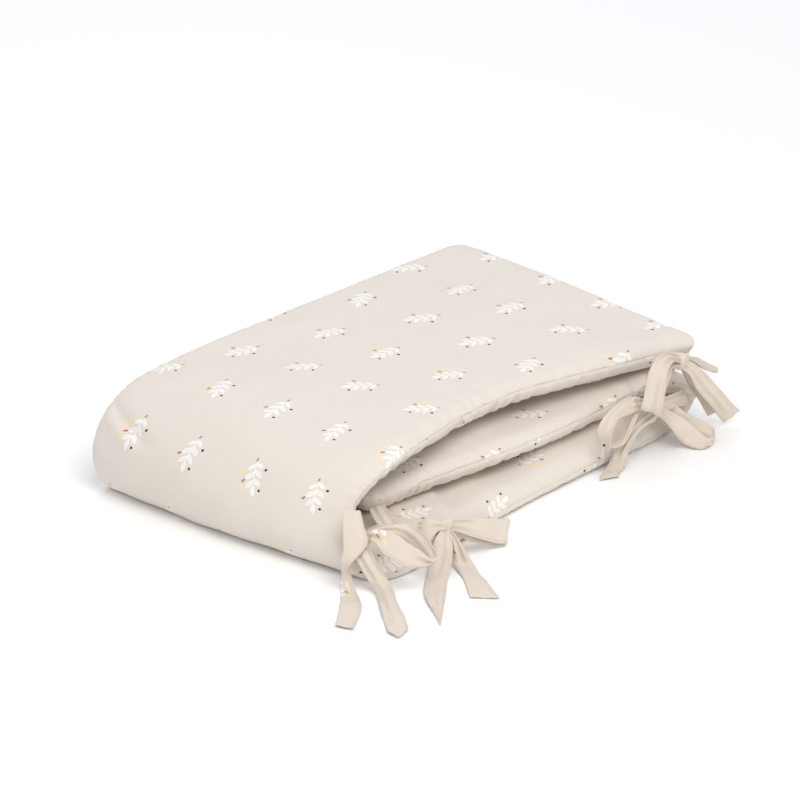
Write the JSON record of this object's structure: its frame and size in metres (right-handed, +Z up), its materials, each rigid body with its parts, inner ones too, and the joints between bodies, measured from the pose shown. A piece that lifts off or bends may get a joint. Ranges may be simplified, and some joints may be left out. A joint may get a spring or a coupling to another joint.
{
  "type": "crib bumper",
  "caption": "Padded cotton crib bumper folded in three for storage, with tapes along one long seam tied in bows.",
  "frame": {"origin": "on the flat underside, under the middle of the folded pack", "axes": "+X from the outer wrap towards the close fold, along the folded length; +Y from the seam with the ties towards the plain seam; +Z up from the surface it rests on"},
  "size_m": [0.6932, 0.5252, 0.1212],
  "materials": {
    "printed_cotton": "matt",
    "tape_cotton": "matt"
  },
  "bodies": {
    "root": {"padded_panel": "printed_cotton", "tie_top_end": "tape_cotton", "tie_inner_fold": "tape_cotton", "tie_middle_end": "tape_cotton", "tie_outer_wrap": "tape_cotton"}
  },
  "joints": []
}
